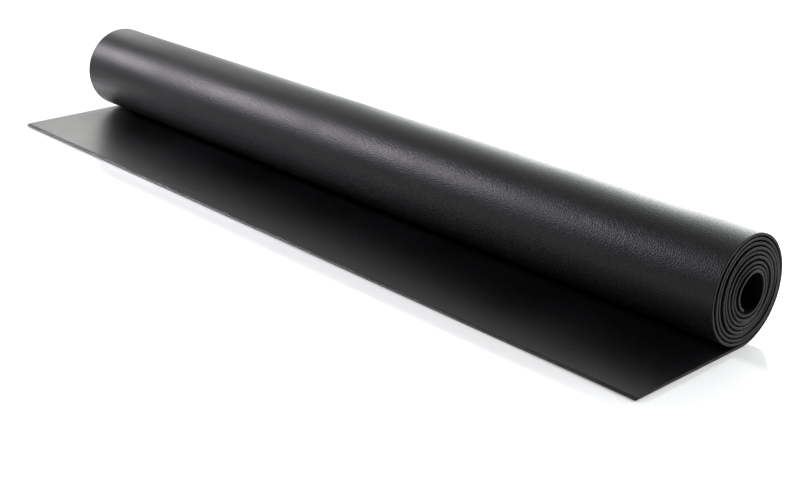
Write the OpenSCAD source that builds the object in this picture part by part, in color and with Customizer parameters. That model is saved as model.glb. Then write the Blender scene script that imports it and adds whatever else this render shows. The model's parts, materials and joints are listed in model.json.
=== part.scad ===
// Rolled floor mat: one flexible sheet, rolled up loosely with its last stretch lying flat.
//
// The sheet bends, so its outer turn and its flap are drawn as narrow strips across its width,
// and each strip meets the next at a hinge line where the real sheet bends. +X is along the
// roll's axis, the flap lies towards -Y, and +Z is up. The origin is at the bottom centre of
// the whole mat.
//
// Seen along the roll's axis, an angle of 0 points straight down and 90 points along +Y.
// The rolled part is a row of short arcs that meet smoothly. Each one is a little tighter
// than the last, and together they make the spiral.

/* [Sheet] */
// Width of the sheet, along the roll's axis
sheet_w = 914; // [600:1:1200]
// Length of the sheet when it lies flat
sheet_l = 1981; // [1960:1:2040]
// Thickness of the sheet
sheet_t = 2.5; // [2:0.1:2.6]
// Width of the bevel along the free edge
bevel_w = 3; // [1:0.5:5]
// Height of the bevel along the free edge
bevel_h = 1.2; // [0.5:0.1:1.6]

/* [Roll] */
// Radius of the outer turn where it leaves the floor
roll_r = 50; // [49.8:0.1:50.4]
// Number of turns in the roll
turns = 8.92; // [8.8:0.01:8.95]
// Mean distance from one turn to the next
turn_pitch = 3.5; // [3.4:0.05:3.6]
// Gap between turns on the side where they lie closest
tight_gap = 0.3; // [0.25:0.05:0.4]
// Angle of the side where the turns lie closest, from straight down towards +Y
tight_side = 62; // [45:1:90]

/* [Bending] */
// Number of outer turns that can open
open_turns = 1; // [1:1:3]
// Angle that one strip of the roll spans
strip_angle = 24; // [20, 24, 30]
// Number of strips in the flat flap
flap_strips = 6; // [4:1:7]
// Straight pieces that make up one strip's curve
strip_chords = 6; // [3:1:8]

/* [Hidden] */
// Strips in the open turns. One strip's span of those turns is left to the nodes at their ends.
open_strips = open_turns * 360 / strip_angle - 1;

// Colours of the outer and the inner turns
sheet_black = [0.09, 0.09, 0.1];
inner_black = [0.14, 0.14, 0.15];

// Name of each strip's node
function turn_name(i) = str("turn_strip_", i < 10 ? "0" : "", i);
function flap_name(i) = str("flap_strip_", i);

function sum(list) = list * [for (item = list) 1];

// Unit vector from the roll's middle towards the given angle
function towards(angle) = [sin(angle), -cos(angle)];

// Arc 0 is half as long as the others, and begins where the sheet leaves the floor.
roll_angle = turns * 360;
last_arc = floor(roll_angle / strip_angle + 0.5);
function arc_start(i) = i == 0 ? 0 : (i - 0.5) * strip_angle;
function arc_end(i) = min((i + 0.5) * strip_angle, roll_angle);

// How unevenly the turns are spaced: the pitch is the least at tight_side
pitch_swing = 2 * (1 - (sheet_t + tight_gap) / turn_pitch);

// How much smaller the radius of arc i + 1 is than that of arc i
function tightening(i) =
    turn_pitch * strip_angle / 360 * (1 + pitch_swing * cos(arc_end(i) - tight_side));

// Radius of each arc's outer face
radii = [
    for (i = 0, r = roll_r; i <= last_arc; r = r - tightening(i), i = i + 1) r
];

// Centre of each arc, moved so that each arc meets the last one smoothly
centres = [
    for (
        i = 0, c = [0, roll_r];
        i <= last_arc;
        c = c + tightening(i) * towards(arc_end(i)), i = i + 1
    ) c
];

// The flap is what the roll leaves of the sheet, measured at mid-thickness.
rolled_l = sum([
    for (i = [0:last_arc]) (arc_end(i) - arc_start(i)) * PI / 180 * (radii[i] - sheet_t / 2)
]);
flap_l = sheet_l - rolled_l;

// The floor strip holds half a strip's length of the flap, and the others share the rest.
flap_strip_l = flap_l / (flap_strips + 0.5);
floor_flat_l = flap_strip_l / 2;

// Point on arc i at the given angle and depth below the outer face
function arc_point(i, angle, depth) = centres[i] + (radii[i] - depth) * towards(angle);

// Points along arcs first to last, at one depth
function curve(first, last, depth) = concat(
    [arc_point(first, arc_start(first), depth)],
    [
        for (i = [first:last], j = [1:strip_chords])
            arc_point(i, arc_start(i) + (arc_end(i) - arc_start(i)) * j / strip_chords, depth)
    ]
);

function reversed(list) = [for (i = [len(list) - 1:-1:0]) list[i]];

// The mat's box is centred on the origin along Y.
roll_reach = max([for (p = curve(0, ceil(360 / strip_angle), 0)) p[0]]);
leave_y = (flap_l - roll_reach) / 2;

// Draws an outline in the Y-Z plane, out to the sheet's full width
module across_width(outline) {
    translate([0, leave_y, 0])
        rotate([90, 0, 90])
            linear_extrude(height = sheet_w, center = true)
                polygon(outline);
}

// A stretch of the roll, from the first arc to the last
module rolled_stretch(first, last) {
    across_width(concat(curve(first, last, 0), reversed(curve(first, last, sheet_t))));
}

// The strip that stays on the floor: the end of the flap, and the start of the roll
module floor_strip() {
    color(sheet_black)
        across_width(concat(
            [[-floor_flat_l, sheet_t], [-floor_flat_l, 0]],
            curve(0, 0, 0),
            reversed(curve(0, 0, sheet_t))
        ));
}

// One strip of the turns that open, counted from the floor strip
module turn_strip(i) {
    color(sheet_black) rolled_stretch(i, i);
}

// The turns around the core, which stay rolled, down to the end of the sheet
module inner_roll() {
    color(inner_black) rolled_stretch(open_strips + 1, last_arc);
}

// One strip of the flat flap, counted from the floor strip. The last one has the bevelled edge.
module flap_strip(i) {
    near = -floor_flat_l - (i - 1) * flap_strip_l;
    far = near - flap_strip_l;
    far_edge = i < flap_strips
        ? [[far, sheet_t], [far, 0]]
        : [[far + bevel_w, sheet_t], [far, sheet_t - bevel_h], [far, 0]];
    color(sheet_black)
        across_width(concat(far_edge, [[near, 0], [near, sheet_t]]));
}

floor_strip();
for (i = [1:open_strips]) turn_strip(i);
inner_roll();
for (i = [1:flap_strips]) flap_strip(i);
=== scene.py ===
"""Rolled floor mat: one flexible sheet in a loose roll, with its last stretch lying flat.

Lengths are in metres, in the CAD model's frame: +X along the roll, the flap towards -Y, +Z up.
The sheet is one loft, cut into pieces half way along each CAD strip, so that every piece
lies over one hinge. An angle of 0 points straight down from the roll's middle, and 90 towards +Y.
"""
import json
import math

import bpy
import numpy as np
from mathutils import Matrix, Vector

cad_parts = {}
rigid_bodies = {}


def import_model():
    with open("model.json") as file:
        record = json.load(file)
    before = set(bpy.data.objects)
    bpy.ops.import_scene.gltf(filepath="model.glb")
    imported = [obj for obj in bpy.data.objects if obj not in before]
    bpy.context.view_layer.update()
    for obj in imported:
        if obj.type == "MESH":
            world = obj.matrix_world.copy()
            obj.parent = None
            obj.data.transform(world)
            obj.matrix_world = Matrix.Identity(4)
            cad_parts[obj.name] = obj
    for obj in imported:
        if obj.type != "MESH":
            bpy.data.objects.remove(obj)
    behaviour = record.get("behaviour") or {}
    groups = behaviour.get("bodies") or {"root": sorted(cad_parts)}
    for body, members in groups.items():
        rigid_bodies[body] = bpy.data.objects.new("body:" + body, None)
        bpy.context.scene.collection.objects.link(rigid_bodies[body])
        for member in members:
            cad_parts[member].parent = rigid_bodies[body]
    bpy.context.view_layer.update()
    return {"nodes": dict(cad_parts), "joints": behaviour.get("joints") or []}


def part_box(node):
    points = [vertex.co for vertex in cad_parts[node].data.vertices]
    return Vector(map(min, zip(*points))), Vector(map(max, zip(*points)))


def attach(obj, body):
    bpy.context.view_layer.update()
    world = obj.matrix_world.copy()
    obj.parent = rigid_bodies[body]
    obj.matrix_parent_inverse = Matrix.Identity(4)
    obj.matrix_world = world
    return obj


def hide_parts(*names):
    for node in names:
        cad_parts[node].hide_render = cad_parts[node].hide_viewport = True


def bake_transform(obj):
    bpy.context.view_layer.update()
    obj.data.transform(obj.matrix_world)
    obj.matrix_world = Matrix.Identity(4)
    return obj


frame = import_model()

# ---- The roll, as the CAD model has it ----

ROLL_R = 0.050
TURNS = 8.92
TURN_PITCH = 0.0035
TIGHT_GAP = 0.0003
TIGHT_SIDE = math.radians(62)
STRIP_ANGLE = math.radians(24)
# Pitch of the turns inside inner_roll. It is wider than the CAD's, so that the hole is as small as
# in the photo, and it leaves the visible sheet about 31 mm shorter than the CAD's.
INNER_PITCH = 0.00365

SHEET_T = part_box("flap_strip_1")[1].z
SHEET_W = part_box("floor_strip")[1].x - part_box("floor_strip")[0].x
FREE_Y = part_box("flap_strip_6")[0].y
FLAP_STRIPS = sum(name.startswith("flap_strip") for name in frame["nodes"])
OPEN_STRIPS = sum(name.startswith("turn_strip") for name in frame["nodes"])
FIRST_HINGE = next(joint for joint in frame["joints"] if joint["name"] == "unroll")
LEAVE_Y = FIRST_HINGE["pos_m"][1] - ROLL_R * math.sin(STRIP_ANGLE / 2)
FLAP_STRIP_L = (LEAVE_Y - FREE_Y) / (FLAP_STRIPS + 0.5)
OPEN_ANGLE = (OPEN_STRIPS + 1) * STRIP_ANGLE
ROLL_ANGLE = TURNS * 2 * math.pi

# ---- Finish of the sheet's edges ----

# Radius that rounds every cut edge, and the least radius left where the rim draws in
SIDE_ROUND = 0.0005
LEAST_ROUND = 0.00005
# Bevel along the free edge: width, height, and the power that shapes its curve
BEVEL_W = 0.0025
BEVEL_H = 0.0014
BEVEL_POWER = 0.8
# Places of the stations along the bevel, as shares of its width
BEVEL_STATIONS = (0.35, 0.55, 0.75, 1.0, 1.3)

# ---- How finely the mesh is divided ----

# Faces in a rounded corner, along one strip of the roll, and across the width
CORNER_STEPS = 3
STRIP_STEPS = 12
WIDTH_STEPS = 30
# Stretches between the bevel and the first hinge middle
EDGE_STEPS = 3
# Length of a face along the flap
FLAP_STEP = 0.004

# ---- Unevenness, as sine waves whose starts are arbitrary ----

# How far the inner turns stray from an even spiral. Waves round the roll: share, rate and start
STRAY = 0.0003
STRAY_WAVES = ((0.6, 0.73, 1.1), (0.4, 1.37, 4.0))
# How far the turns' ends slip along the roll. Waves round the roll: size and rate
WANDER_WAVES = ((0.0005, 1.9), (0.0004, 0.61))
# How far the flap rises off the floor at most, and how far from the roll this is reached.
# Waves across the width: share, wavelength and start, on top of an even share.
FLAP_SWELL = 0.0007
FLAP_SWELL_REACH = 0.12
FLAP_EVEN = 0.5
FLAP_WAVES = ((0.3, 0.41, 0.6), (0.2, 0.17, 0.0))
# Waves across the roll: size, wavelength and start, then rate and start round the roll
ROLL_WAVES = ((0.00016, 0.29, 0.8, 1, -1.0), (0.00007, 0.155, 2.1, 2, 0.4))


def smooth(t):
    """Eases from 0 to 1."""
    t = np.clip(t, 0.0, 1.0)
    return t * t * (3 - 2 * t)


def towards(angle):
    """Unit vector (y, z) from the roll's middle towards an angle."""
    return np.array([math.sin(angle), -math.cos(angle)])


def make_arcs():
    """Radius and centre of each arc of the spiral's outer face. Arcs meet smoothly."""
    radius = ROLL_R
    centre = np.array([LEAVE_Y, ROLL_R])
    arcs = []
    for i in range(round(ROLL_ANGLE / STRIP_ANGLE) + 1):
        arcs.append((radius, centre))
        end = (i + 0.5) * STRIP_ANGLE
        pitch = TURN_PITCH if end < OPEN_ANGLE else INNER_PITCH
        swing = 2 * (1 - (SHEET_T + TIGHT_GAP) / pitch)
        tightening = pitch * STRIP_ANGLE / (2 * math.pi) * (1 + swing * math.cos(end - TIGHT_SIDE))
        radius = radius - tightening
        centre = centre + tightening * towards(end)
    return arcs


ARCS = make_arcs()


def looseness(angle):
    """How far the inner turns stray from an even spiral, less where they lie tight."""
    ease = smooth((angle - OPEN_ANGLE) / math.pi)
    room = STRAY * (1 - math.cos(angle - TIGHT_SIDE))
    stray = sum(share * math.sin(rate * angle + start) for share, rate, start in STRAY_WAVES)
    return ease * room * stray


def roll_point(angle):
    """Outer face (y, z) of the roll at an angle, counted on through all the turns."""
    arc = min(round(angle / STRIP_ANGLE), len(ARCS) - 1)
    radius, centre = ARCS[arc]
    return centre + (radius + looseness(angle)) * towards(angle)


def edge_inset(distance):
    """How far the rounded rim draws in at a distance from a cut edge."""
    if distance >= SIDE_ROUND:
        return 0.0
    return SIDE_ROUND - math.sqrt(SIDE_ROUND**2 - (SIDE_ROUND - distance) ** 2)


def rounding_distances():
    """Distances from a cut edge at which the rim needs a station to look round."""
    turns = [math.pi / 2 * step / CORNER_STEPS for step in range(CORNER_STEPS + 1)]
    return [SIDE_ROUND * (1 - math.cos(turn)) for turn in turns]


class Station:
    """One cross-section of the sheet, across its width."""

    def __init__(self, point, outward, angle, from_free_edge, from_inner_end=1.0):
        self.point = point
        self.outward = outward
        self.angle = angle
        self.along = from_free_edge
        nearest = min(from_free_edge, from_inner_end)
        self.inset = edge_inset(nearest)
        bevel = BEVEL_H * (1 - smooth(from_free_edge / BEVEL_W) ** BEVEL_POWER)
        self.thickness = SHEET_T - bevel


def flap_stations():
    """Stations from the free edge to where the roll begins, with the hinge middles among them."""
    length = LEAVE_Y - FREE_Y
    near_edge = rounding_distances() + [BEVEL_W * share for share in BEVEL_STATIONS]
    middles = [length - strip * FLAP_STRIP_L for strip in range(FLAP_STRIPS, -1, -1)]
    steps = max(1, round(FLAP_STRIP_L / FLAP_STEP))
    distances = list(near_edge)
    distances += list(np.linspace(near_edge[-1], middles[0], EDGE_STEPS + 1)[1:])
    for start in middles[:-1]:
        distances += [start + FLAP_STRIP_L * step / steps for step in range(1, steps + 1)]
    down = np.array([0.0, -1.0])
    return [Station(np.array([FREE_Y + d, 0.0]), down, 0.0, d) for d in distances]


def roll_stations(start_along):
    """Stations through the roll, from where it begins to the sheet's inner end."""
    step = STRIP_ANGLE / STRIP_STEPS
    angles = [step * i for i in range(1, int(ROLL_ANGLE / step))]
    end_radius = ARCS[-1][0]
    angles += [ROLL_ANGLE - d / end_radius for d in reversed(rounding_distances())]
    stations = []
    along = start_along
    previous = roll_point(0.0)
    for angle in angles:
        point = roll_point(angle)
        along += float(np.linalg.norm(point - previous))
        previous = point
        to_end = (ROLL_ANGLE - angle) * end_radius
        stations.append(Station(point, towards(angle), angle, along, to_end))
    return stations


def ring_outline(station):
    """Points (x, depth below the outer face) round one cross-section, with rounded corners."""
    radius = max(SIDE_ROUND - station.inset, LEAST_ROUND)
    outer = station.inset
    inner = station.thickness - station.inset
    # Middles of the corner arcs: their x on the right, and their depths by either face
    side = SHEET_W / 2 - station.inset - radius
    by_outer = outer + radius
    by_inner = inner - radius
    face_x = np.linspace(-side, side, WIDTH_STEPS + 1)
    turns = [math.pi / 2 * step / CORNER_STEPS for step in range(1, CORNER_STEPS + 1)]
    points = [(x, outer) for x in face_x]
    points += [(side + radius * math.sin(a), by_outer - radius * math.cos(a)) for a in turns]
    points += [(side + radius * math.cos(a), by_inner + radius * math.sin(a)) for a in [0] + turns]
    points += [(x, inner) for x in face_x[-2::-1]]
    points += [(-side - radius * math.sin(a), by_inner + radius * math.cos(a)) for a in turns]
    points += [
        (-side - radius * math.cos(a), by_outer - radius * math.sin(a)) for a in [0] + turns[:-1]
    ]
    return np.array(points)


def across(x, length, start):
    """A sine wave across the sheet's width."""
    return np.sin(2 * math.pi * x / length + start)


def wave(x, station):
    """Gentle unevenness of the sheet, outwards. It is negative on the flap, and lifts it a little."""
    angle = station.angle
    if angle == 0.0:
        from_roll = LEAVE_Y - station.point[0]
        swell = FLAP_EVEN + sum(share * across(x, *place) for share, *place in FLAP_WAVES)
        return -FLAP_SWELL * smooth(from_roll / FLAP_SWELL_REACH) * swell
    height = sum(
        size * across(x, length, start) * math.cos(rate * angle + turned)
        for size, length, start, rate, turned in ROLL_WAVES
    )
    return math.sin(angle / 2) ** 2 * height


def wander(station):
    """How far a turn's ends slip sideways along the roll."""
    ease = smooth((station.angle - math.pi) / (2 * math.pi))
    return ease * sum(size * math.sin(rate * station.angle) for size, rate in WANDER_WAVES)


def make_sheet():
    """The whole sheet: stations, positions[station, ring point] and unit normals alike."""
    stations = flap_stations()
    stations += roll_stations(stations[-1].along)
    rows = []
    for station in stations:
        outline = ring_outline(station)
        offset = wave(outline[:, 0], station) - outline[:, 1]
        y = station.point[0] + offset * station.outward[0]
        z = station.point[1] + offset * station.outward[1]
        rows.append(np.stack([outline[:, 0] + wander(station), y, z], axis=1))
    positions = np.array(rows)
    along = np.gradient(positions, axis=0)
    around = np.roll(positions, -1, axis=1) - np.roll(positions, 1, axis=1)
    normals = np.cross(along, around)
    normals /= np.linalg.norm(normals, axis=2, keepdims=True)
    return stations, positions, normals


STATIONS, POSITIONS, NORMALS = make_sheet()
# Points round one cross-section, then the places where its outer and inner faces begin and end
RING = POSITIONS.shape[1]
OUTER_END = WIDTH_STEPS
INNER_START = WIDTH_STEPS + 2 * CORNER_STEPS + 1
INNER_END = INNER_START + WIDTH_STEPS


# ---- Materials ----


def node_of(tree, kind, **inputs):
    """A new shader node with the given inputs set."""
    node = tree.nodes.new(kind)
    for name, value in inputs.items():
        node.inputs[name.replace("_", " ")].default_value = value
    return node


def noise_of(tree, vector, scale, detail=2.0, roughness=0.5):
    """Noise over the sheet's own (across, along) place, in metres. Returns its value socket."""
    noise = node_of(tree, "ShaderNodeTexNoise", Scale=scale, Detail=detail, Roughness=roughness)
    noise.noise_dimensions = "2D"
    tree.links.new(vector, noise.inputs["Vector"])
    return noise.outputs["Fac"]


def ranged(tree, value, low, high, to_low, to_high):
    """Maps a socket's value from one range to another, and clamps it."""
    limits = {"From_Min": low, "From_Max": high, "To_Min": to_low, "To_Max": to_high}
    node = node_of(tree, "ShaderNodeMapRange", **limits)
    tree.links.new(value, node.inputs["Value"])
    return node.outputs["Result"]


def combined(tree, operation, first, second):
    """One maths step on two values, each a socket or a number."""
    node = tree.nodes.new("ShaderNodeMath")
    node.operation = operation
    for place, value in enumerate((first, second)):
        if isinstance(value, (int, float)):
            node.inputs[place].default_value = value
        else:
            tree.links.new(value, node.inputs[place])
    return node.outputs["Value"]


def mixed_colour(tree, factor, dark, light):
    """A colour between dark and light, by a socket's value."""
    node = tree.nodes.new("ShaderNodeMix")
    node.data_type = "RGBA"
    tree.links.new(factor, node.inputs["Factor"])
    for socket in node.inputs:
        if socket.type == "RGBA":
            socket.default_value = (*(dark if socket.name == "A" else light), 1)
    return next(socket for socket in node.outputs if socket.type == "RGBA")


# Size of the noise that shifts the pebbles, for each cell, and how irregular the pebbles are
DRIFT_SHARE = 0.35
PEBBLE_RANDOMNESS = 0.95
# Distance from its edge, in cells, at which a pebble reaches its full height
PEBBLE_SLOPE = 0.28


def pebbles(tree, place, cell, uneven):
    """Height of leather-like grain: rounded pebbles, each about a cell wide, with creases between."""
    drift = node_of(tree, "ShaderNodeTexNoise", Scale=DRIFT_SHARE / cell, Detail=1.0)
    drift.noise_dimensions = "2D"
    tree.links.new(place, drift.inputs["Vector"])
    shift = node_of(tree, "ShaderNodeVectorMath")
    shift.operation = "MULTIPLY_ADD"
    tree.links.new(drift.outputs["Color"], shift.inputs[0])
    shift.inputs[1].default_value = (cell * uneven,) * 3
    tree.links.new(place, shift.inputs[2])
    cells = node_of(tree, "ShaderNodeTexVoronoi", Scale=1 / cell, Randomness=PEBBLE_RANDOMNESS)
    cells.voronoi_dimensions = "2D"
    cells.feature = "DISTANCE_TO_EDGE"
    tree.links.new(shift.outputs[0], cells.inputs["Vector"])
    return ranged(tree, cells.outputs["Distance"], 0.0, PEBBLE_SLOPE, 0.0, 1.0)


# Patches per metre over the sheet, and the grain's shade that counts as fully dark and fully light
PATCH_SCALE = 9.0
SHADE_RANGE = (0.1, 0.6)
# Shares of the patches and of the fine grain in the gloss, the part of their range that is used,
# and how far the roughness goes below and above the look's own
PATCH_SHARE = 0.7
FINE_SHARE = 0.3
GLOSS_RANGE = (0.3, 0.7)
ROUGH_BELOW = 0.05
ROUGH_ABOVE = 0.06


def sheet_material(name, look):
    """Satin black vinyl. look holds the grain's size and depth, the colours and the roughness."""
    material = bpy.data.materials.new(name)
    material.use_nodes = True
    tree = material.node_tree
    shader = tree.nodes["Principled BSDF"]
    shader.inputs["IOR"].default_value = look["ior"]
    place_node = tree.nodes.new("ShaderNodeUVMap")
    place_node.uv_map = "Sheet"
    place = place_node.outputs["UV"]
    broad = noise_of(tree, place, PATCH_SCALE, detail=3.0)
    fine = noise_of(tree, place, 1 / look["cell"], detail=1.0)
    grain = pebbles(tree, place, look["cell"], look["uneven"])
    relief = combined(tree, "ADD", combined(tree, "MULTIPLY", fine, look["speckle"]), grain)
    shade = combined(tree, "MULTIPLY", grain, broad)
    tone = ranged(tree, shade, *SHADE_RANGE, 0.0, 1.0)
    colour = mixed_colour(tree, tone, look["dark"], look["light"])
    tree.links.new(colour, shader.inputs["Base Color"])
    patches = combined(tree, "MULTIPLY", broad, PATCH_SHARE)
    specks = combined(tree, "MULTIPLY", fine, FINE_SHARE)
    patchy = combined(tree, "ADD", patches, specks)
    rough = look["rough"]
    gloss = ranged(tree, patchy, *GLOSS_RANGE, rough - ROUGH_BELOW, rough + ROUGH_ABOVE)
    tree.links.new(gloss, shader.inputs["Roughness"])
    bump = node_of(tree, "ShaderNodeBump", Strength=look["strength"], Distance=look["depth"])
    tree.links.new(relief, bump.inputs["Height"])
    tree.links.new(bump.outputs["Normal"], shader.inputs["Normal"])
    return material


OUTER_LOOK = {
    "cell": 0.0024, "uneven": 0.9, "speckle": 0.9, "strength": 1.0, "depth": 0.00008,
    "dark": (0.003, 0.0025, 0.0035), "light": (0.007, 0.006, 0.008), "rough": 0.43, "ior": 1.43,
}
INNER_LOOK = {
    "cell": 0.0022, "uneven": 0.8, "speckle": 1.2, "strength": 1.0, "depth": 0.00009,
    "dark": (0.004, 0.0035, 0.0045), "light": (0.009, 0.008, 0.010), "rough": 0.34, "ior": 1.46,
}
EDGE_LOOK = {
    "cell": 0.0012, "uneven": 1.2, "speckle": 1.0, "strength": 0.3, "depth": 0.00006,
    "dark": (0.005, 0.004, 0.005), "light": (0.017, 0.012, 0.015), "rough": 0.50, "ior": 1.22,
}
SHEET_MATERIALS = [
    sheet_material("vinyl_grained_underside", OUTER_LOOK),
    sheet_material("vinyl_fine_upper_face", INNER_LOOK),
    sheet_material("vinyl_cut_edge", EDGE_LOOK),
]
OUTER, INNER, EDGE = range(3)


# ---- Pieces ----


def face_kind(ring_place):
    """Material of the face that starts at a place round the ring."""
    if ring_place < OUTER_END:
        return OUTER
    if INNER_START <= ring_place < INNER_END:
        return INNER
    return EDGE


def ring_distances():
    """Distance round the ring to each of its points and back to the first, from the outer middle."""
    section = POSITIONS[len(STATIONS) // 2]
    section = section - section[0]
    steps = np.linalg.norm(np.roll(section, -1, axis=0) - section, axis=1)
    return np.concatenate([[0.0], np.cumsum(steps)]) - SHEET_W / 2


ROUND = ring_distances()


# Depth of a cap in the texture's place, so that the cap isn't a line there
CAP_DEPTH = 0.0001


def add_piece(name, first, last):
    """A closed mesh of the sheet between two stations, with a flat cap at each end."""
    rows = last - first + 1
    verts = POSITIONS[first:last + 1].reshape(-1, 3)
    normals = NORMALS[first:last + 1].reshape(-1, 3)
    faces, kinds, places = [], [], []
    for row in range(rows - 1):
        low, high = STATIONS[first + row].along, STATIONS[first + row + 1].along
        for at in range(RING):
            beside = (at + 1) % RING
            here, there = row * RING, (row + 1) * RING
            faces.append((here + at, there + at, there + beside, here + beside))
            kinds.append(face_kind(at))
            left, right = ROUND[at], ROUND[at + 1]
            places += [(left, low), (left, high), (right, high), (right, low)]
    side_loops = len(places)
    for row, order in ((0, range(RING)), (rows - 1, range(RING - 1, -1, -1))):
        faces.append([row * RING + at for at in order])
        kinds.append(EDGE)
        section = POSITIONS[first + row]
        along = STATIONS[first + row].along
        places += [(section[at, 0], along + CAP_DEPTH * at / RING) for at in order]
    mesh = bpy.data.meshes.new(name)
    mesh.from_pydata(verts.tolist(), [], faces)
    mesh.update()
    loop_verts = np.zeros(len(mesh.loops), dtype=np.int32)
    mesh.loops.foreach_get("vertex_index", loop_verts)
    layer = mesh.uv_layers.new(name="Sheet")
    layer.data.foreach_set("uv", np.array(places, dtype=np.float32).ravel())
    mesh.polygons.foreach_set("material_index", kinds)
    mesh.polygons.foreach_set("use_smooth", [True] * len(faces))
    for material in SHEET_MATERIALS:
        mesh.materials.append(material)
    loop_normals = normals[loop_verts]
    loop_normals[side_loops:side_loops + RING] = mesh.polygons[-2].normal
    loop_normals[side_loops + RING:] = mesh.polygons[-1].normal
    mesh.normals_split_custom_set(loop_normals.tolist())
    piece = bpy.data.objects.new(name, mesh)
    bpy.context.scene.collection.objects.link(piece)
    return piece


def flap_station(strips):
    """Station at a whole number of strip lengths down the flap from the roll."""
    target = LEAVE_Y - FREE_Y - strips * FLAP_STRIP_L
    return min(range(len(STATIONS)), key=lambda i: abs(STATIONS[i].along - target))


LEAVE_STATION = flap_station(0)


def turn_body(strip):
    """Body of a strip of the turn that opens, counted from the floor."""
    if strip == 0:
        return "floor_strip"
    return "inner_roll" if strip > OPEN_STRIPS else f"turn_strip_{strip:02d}"


def flap_body(strip):
    """Body of a strip of the flap, counted from the floor strip."""
    return "floor_strip" if strip == 0 else f"flap_strip_{strip}"


def add_turn():
    """The turn that opens: one piece over each hinge."""
    for strip in range(OPEN_STRIPS + 1):
        first = LEAVE_STATION + strip * STRIP_STEPS
        last = first + STRIP_STEPS
        piece = add_piece(f"sheet_turn_{strip + 1:02d}", first, last)
        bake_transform(piece)
        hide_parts(turn_body(strip))


def add_flap():
    """The flap: one piece over each hinge. The last one holds the free edge."""
    for strip in range(FLAP_STRIPS):
        near = flap_station(strip)
        far = flap_station(strip + 1)
        first = 0 if strip == FLAP_STRIPS - 1 else far
        piece = add_piece(f"sheet_flap_{strip + 1}", first, near)
        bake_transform(piece)
        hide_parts(flap_body(strip + 1))


def add_inner_turns():
    """The turns round the core, which stay rolled."""
    first = LEAVE_STATION + (OPEN_STRIPS + 1) * STRIP_STEPS
    piece = add_piece("sheet_inner_turns", first, len(STATIONS) - 1)
    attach(piece, "inner_roll")
    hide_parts("inner_roll")


# ---- Studio ----

CAMERA_AT = Vector((0.990, -0.8285, 0.4835))
CAMERA_LOOK = Vector((-0.6794, 0.6327, -0.3718))
CAMERA_ROLL = math.radians(0.688)
CAMERA_LENS = 61.3


def add_camera():
    """The photograph's viewing angle."""
    camera = bpy.data.objects.new("camera", bpy.data.cameras.new("camera"))
    back = -CAMERA_LOOK.normalized()
    right = Vector((0, 0, 1)).cross(back).normalized()
    up = back.cross(right)
    tilted_right = right * math.cos(CAMERA_ROLL) + up * math.sin(CAMERA_ROLL)
    tilted_up = up * math.cos(CAMERA_ROLL) - right * math.sin(CAMERA_ROLL)
    turned = Matrix((tilted_right, tilted_up, back)).transposed().to_4x4()
    camera.matrix_world = Matrix.Translation(CAMERA_AT) @ turned
    camera.data.lens = CAMERA_LENS
    camera.data.clip_start = 0.01
    bpy.context.scene.collection.objects.link(camera)
    bpy.context.scene.camera = camera


# Half the floor's side, and how far it lies below the mat so that the two don't coincide
FLOOR_HALF = 12.0
FLOOR_DROP = 0.0002


def add_floor():
    """A plain, glossy white floor, which glows a little so that it stays white near the mat."""
    size = FLOOR_HALF
    mesh = bpy.data.meshes.new("floor")
    corners = [(-size, -size, 0), (size, -size, 0), (size, size, 0), (-size, size, 0)]
    mesh.from_pydata(corners, [], [(0, 1, 2, 3)])
    floor = bpy.data.objects.new("floor", mesh)
    bpy.context.scene.collection.objects.link(floor)
    material = bpy.data.materials.new("white_floor")
    material.use_nodes = True
    shader = material.node_tree.nodes["Principled BSDF"]
    shader.inputs["Base Color"].default_value = (0.95, 0.95, 0.95, 1)
    shader.inputs["Emission Color"].default_value = (1, 1, 1, 1)
    shader.inputs["Emission Strength"].default_value = 0.22
    shader.inputs["Roughness"].default_value = 0.07
    shader.inputs["IOR"].default_value = 1.7
    mesh.materials.append(material)
    floor.location.z = -FLOOR_DROP


def add_light(name, place, target, size, power, colour):
    """A soft rectangular light, facing a target."""
    data = bpy.data.lights.new(name, "AREA")
    data.shape = "RECTANGLE"
    data.size, data.size_y = size
    data.energy = power
    data.color = colour
    light = bpy.data.objects.new(name, data)
    light.location = place
    light.rotation_euler = (Vector(target) - Vector(place)).to_track_quat("-Z", "Y").to_euler()
    bpy.context.scene.collection.objects.link(light)
    return light


# Brightness of the studio by direction: the share of +Y in it, and how bright it is there
STUDIO_GLOW = (
    (-0.6, 0.02), (-0.3, 0.1), (0.1, 0.3), (0.4, 0.7), (0.6, 1.6), (0.85, 7.5), (1.0, 3.0),
)
# Brightness and tint of the studio: as the camera sees it, and as it lights the mat
BACKDROP_STRENGTH = 1.15
GLOW_TINT = (0.97, 1.0, 0.99, 1)


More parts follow.
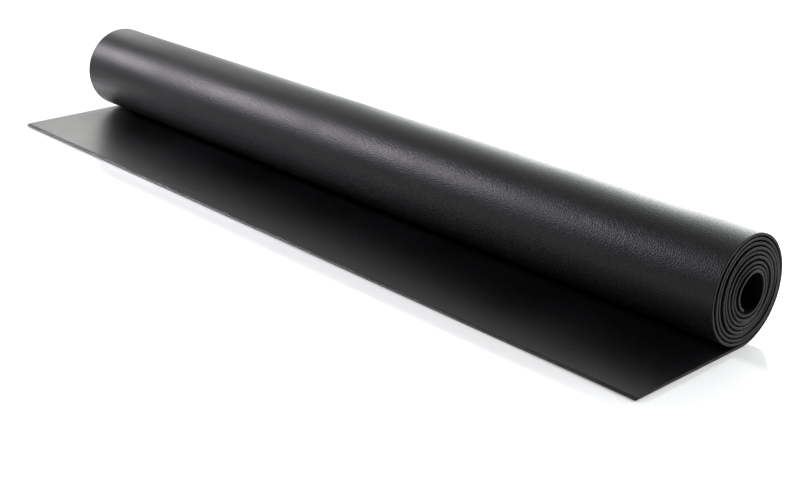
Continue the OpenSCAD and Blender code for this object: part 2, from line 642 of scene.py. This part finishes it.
def add_world():
    """White all round to look at. As a light it is bright at the back and dark in front."""
    world = bpy.data.worlds.new("studio")
    bpy.context.scene.world = world
    world.use_nodes = True
    tree = world.node_tree
    tree.nodes.clear()
    out = tree.nodes.new("ShaderNodeOutputWorld")
    backdrop = node_of(tree, "ShaderNodeBackground", Color=(1, 1, 1, 1), Strength=BACKDROP_STRENGTH)
    glow = node_of(tree, "ShaderNodeBackground", Color=GLOW_TINT)
    direction = tree.nodes.new("ShaderNodeTexCoord").outputs["Generated"]
    split = tree.nodes.new("ShaderNodeSeparateXYZ")
    tree.links.new(direction, split.inputs[0])
    strength = None
    for (low, dim), (high, bright) in zip(STUDIO_GLOW, STUDIO_GLOW[1:]):
        rise = ranged(tree, split.outputs["Y"], low, high, 0.0, bright - dim)
        strength = combined(tree, "ADD", rise, STUDIO_GLOW[0][1] if strength is None else strength)
    tree.links.new(strength, glow.inputs["Strength"])
    path = tree.nodes.new("ShaderNodeLightPath")
    mix = tree.nodes.new("ShaderNodeMixShader")
    tree.links.new(path.outputs["Is Camera Ray"], mix.inputs[0])
    tree.links.new(glow.outputs[0], mix.inputs[1])
    tree.links.new(backdrop.outputs[0], mix.inputs[2])
    tree.links.new(mix.outputs[0], out.inputs["Surface"])


SOFTBOX = {
    "place": (-3.15, -1.6, 1.85), "target": (0, 0, 0.05), "size": (1.0, 0.55),
    "power": 108, "colour": (0.97, 0.93, 1.0),
}
BACK_CARD = {
    "place": (-2.28, 0.80, 0.64), "target": (-0.4, -0.05, 0), "size": (0.6, 0.8),
    "power": 5.0, "colour": (1.0, 1.0, 0.96),
}


def add_lights():
    """A softbox draws the satin band along the roll, and a card at the back lights the far corner."""
    add_light("softbox", **SOFTBOX)
    card = add_light("back_card", **BACK_CARD)
    # The card lights the mat only, because its reflection would show in the glossy floor.
    lit = bpy.data.collections.new("lit_by_card")
    for piece in bpy.data.objects:
        if piece.name.startswith("sheet_"):
            lit.objects.link(piece)
    card.light_linking.receiver_collection = lit


add_camera()
add_turn()
add_flap()
add_inner_turns()
add_floor()
add_world()
add_lights()
bpy.context.scene.view_settings.view_transform = "Standard"
